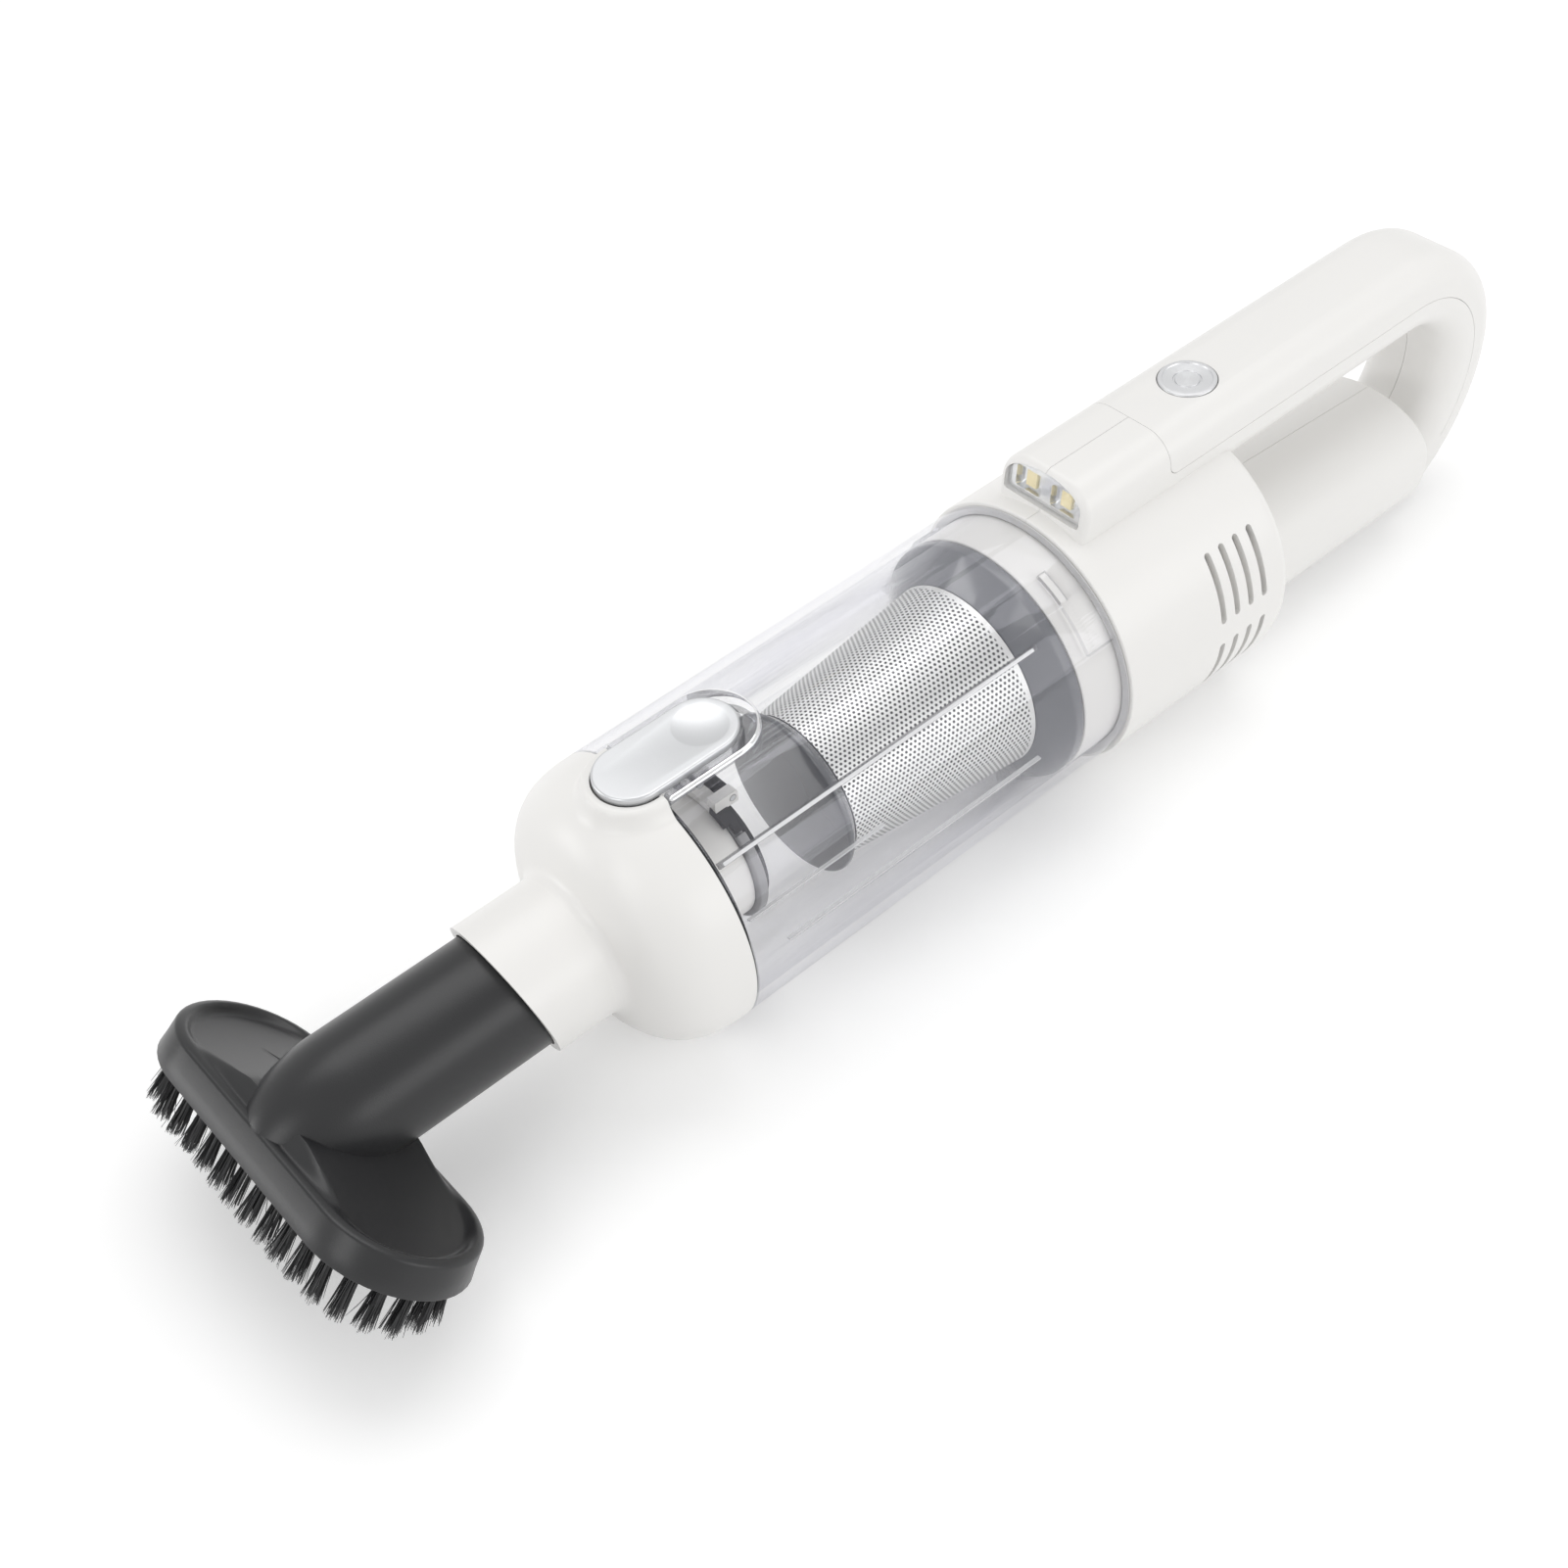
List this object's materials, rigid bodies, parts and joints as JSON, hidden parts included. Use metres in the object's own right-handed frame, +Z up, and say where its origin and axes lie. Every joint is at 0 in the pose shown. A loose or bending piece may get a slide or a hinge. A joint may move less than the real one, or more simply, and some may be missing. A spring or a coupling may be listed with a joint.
{
  "type": "handheld vacuum cleaner",
  "caption": "Cordless handheld vacuum cleaner with a clear dust cup, loop handle, lamp and a slanted dusting brush.",
  "frame": {"origin": "under the middle of the bounding box, on the surface the belly rests on", "axes": "+X out of the nose along the body axis, +Y to the left side, +Z up towards the handle"},
  "size_m": [0.4264, 0.1006, 0.0884],
  "materials": {
    "white_plastic": "satin, warm off-white, moulded",
    "black_plastic": "fine-grained satin black",
    "bristle_nylon": "black nylon filament",
    "clear_plastic": "clear, polished, slight grey tint",
    "smoke_plastic": "dark translucent, polished",
    "steel_mesh": "thin perforated stainless sheet",
    "silver_paint": "satin silver paint",
    "grey_paint": "satin silver-grey paint",
    "dark_rubber": "matte",
    "grey_rubber": "matte",
    "filter_paper": "pleated filter paper",
    "chrome_plate": "mirror-bright",
    "plain_steel": "plain bright steel",
    "magnet_ferrite": "sintered, dark grey",
    "cell_wrap": "shrink-wrapped can",
    "circuit_board": "green laminate",
    "led_phosphor": "yellow phosphor"
  },
  "bodies": {
    "main_unit": {"filter_frame": "white_plastic", "motor_collar": "white_plastic", "housing_left": "white_plastic", "housing_right": "white_plastic", "handle_cover": "white_plastic", "switch_body": "black_plastic", "fan_shroud": "black_plastic", "cell_plate_front": "black_plastic", "cell_plate_rear": "black_plastic", "led_lens": "clear_plastic", "cyclone_tip": "smoke_plastic", "cyclone_flange": "smoke_plastic", "mesh_cone": "steel_mesh", "filter_seal": "dark_rubber", "cup_seal": "dark_rubber", "motor_mount_front": "dark_rubber", "motor_mount_rear": "dark_rubber", "pleated_filter": "filter_paper", "led_reflector": "chrome_plate", "button_spring": "plain_steel", "charge_socket": "plain_steel", "motor_can": "plain_steel", "front_bearing": "plain_steel", "rear_bearing": "plain_steel", "housing_screw_1": "plain_steel", "housing_screw_2": "plain_steel", "housing_screw_3": "plain_steel", "housing_screw_4": "plain_steel", "housing_screw_5": "plain_steel", "motor_magnets": "magnet_ferrite", "battery_cell_left": "cell_wrap", "battery_cell_right": "cell_wrap", "led_board": "circuit_board", "control_board": "circuit_board", "charge_board": "circuit_board", "led_chip_left": "led_phosphor", "led_chip_right": "led_phosphor"},
    "dust_cup": {"dust_cup": "clear_plastic", "cap_hinge_pin": "plain_steel", "latch_pin": "plain_steel", "latch_spring": "plain_steel"},
    "latch": {"latch_lever": "silver_paint"},
    "cap": {"front_cap": "white_plastic", "cap_seal": "dark_rubber", "inlet_tube": "white_plastic", "inlet_gasket": "grey_rubber", "flap_clip": "dark_rubber", "flap_pin": "plain_steel"},
    "flap": {"inlet_flap": "dark_rubber"},
    "brush": {"brush_head": "black_plastic", "bristle_row_front": "bristle_nylon", "bristle_row_rear": "bristle_nylon", "bristle_end_right": "bristle_nylon", "bristle_end_left": "bristle_nylon"},
    "button": {"power_button": "grey_paint"},
    "fan": {"impeller": "black_plastic", "motor_shaft": "plain_steel", "motor_rotor": "plain_steel"}
  },
  "joints": [
    {"name": "cup_twist", "type": "hinge", "parent": "main_unit", "child": "dust_cup", "pos_m": [0.02783, 0, 0.03797], "axis": [1, 0, 0], "range_deg": [0, 22]},
    {"name": "cap_hinge", "type": "hinge", "parent": "dust_cup", "child": "cap", "pos_m": [0.08983, 0, 0.00195], "axis": [0, 1, 0], "range_deg": [0, 90]},
    {"name": "latch_press", "type": "hinge", "parent": "dust_cup", "child": "latch", "pos_m": [0.08043, 0, 0.07447], "axis": [0, -1, 0], "range_deg": [0, 6], "stiffness_Nm_per_rad": 0.4, "springref_deg": -5.73, "deforming": ["latch_spring"]},
    {"name": "flap_swing", "type": "hinge", "parent": "cap", "child": "flap", "pos_m": [0.06918, 0, 0.05827], "axis": [0, 1, 0], "range_deg": [0, 30]},
    {"name": "brush_slide", "type": "slide", "parent": "cap", "child": "brush", "axis": [1, 0, 0], "range_m": [0, 0.04]},
    {"name": "button_press", "type": "slide", "parent": "main_unit", "child": "button", "axis": [0, 0, -1], "range_m": [0, 0.0012], "stiffness_N_per_m": 300, "springref_m": -0.001, "deforming": ["button_spring"]},
    {"name": "fan_spin", "type": "hinge", "parent": "main_unit", "child": "fan", "pos_m": [-0.07017, 0, 0.03797], "axis": [1, 0, 0], "continuous": true}
  ]
}
